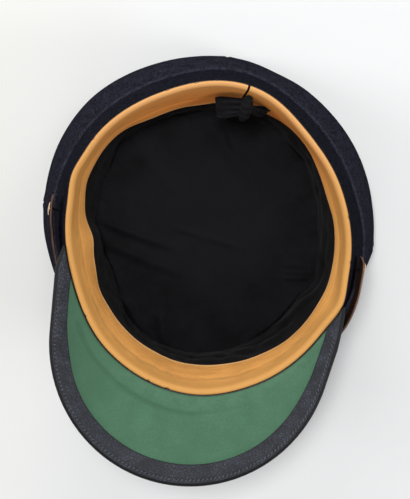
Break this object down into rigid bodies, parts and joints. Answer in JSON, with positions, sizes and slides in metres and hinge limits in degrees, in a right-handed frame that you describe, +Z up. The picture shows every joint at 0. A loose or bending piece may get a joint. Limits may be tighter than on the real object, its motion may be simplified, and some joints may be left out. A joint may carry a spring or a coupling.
{
  "type": "peaked cap",
  "caption": "Wool peaked cap lying on its crown, with a folded leather sweatband, gathered lining, bound peak and buttoned chin strap.",
  "frame": {"origin": "middle of the crown's flat face, on which the cap lies", "axes": "+Z up out of the head opening, -Y towards the peak, +X to the right with the peak towards the viewer"},
  "size_m": [0.2234, 0.2608, 0.1181],
  "materials": {
    "wool": "fulled navy wool, matt",
    "tan_leather": "smooth tan leather, satin",
    "lining_cloth": "black polished cotton, creased",
    "green_leather": "thin green leather, matt",
    "peak_leather": "black leather, satin",
    "binding_leather": "dark grey leather, stitched",
    "strap_leather": "brown strap leather, waxed",
    "brass": "worn brass, polished",
    "ribbon": "black ribbed ribbon"
  },
  "bodies": {
    "root": {"crown_top": "wool", "crown_side": "wool", "piping": "wool", "band": "wool", "sweatband": "tan_leather", "bow": "ribbon", "lining_side": "lining_cloth", "lining_tip": "lining_cloth", "peak_lining": "green_leather", "peak_top": "peak_leather", "peak_binding": "binding_leather", "chin_strap": "strap_leather", "button_left": "brass", "button_right": "brass"}
  },
  "joints": []
}
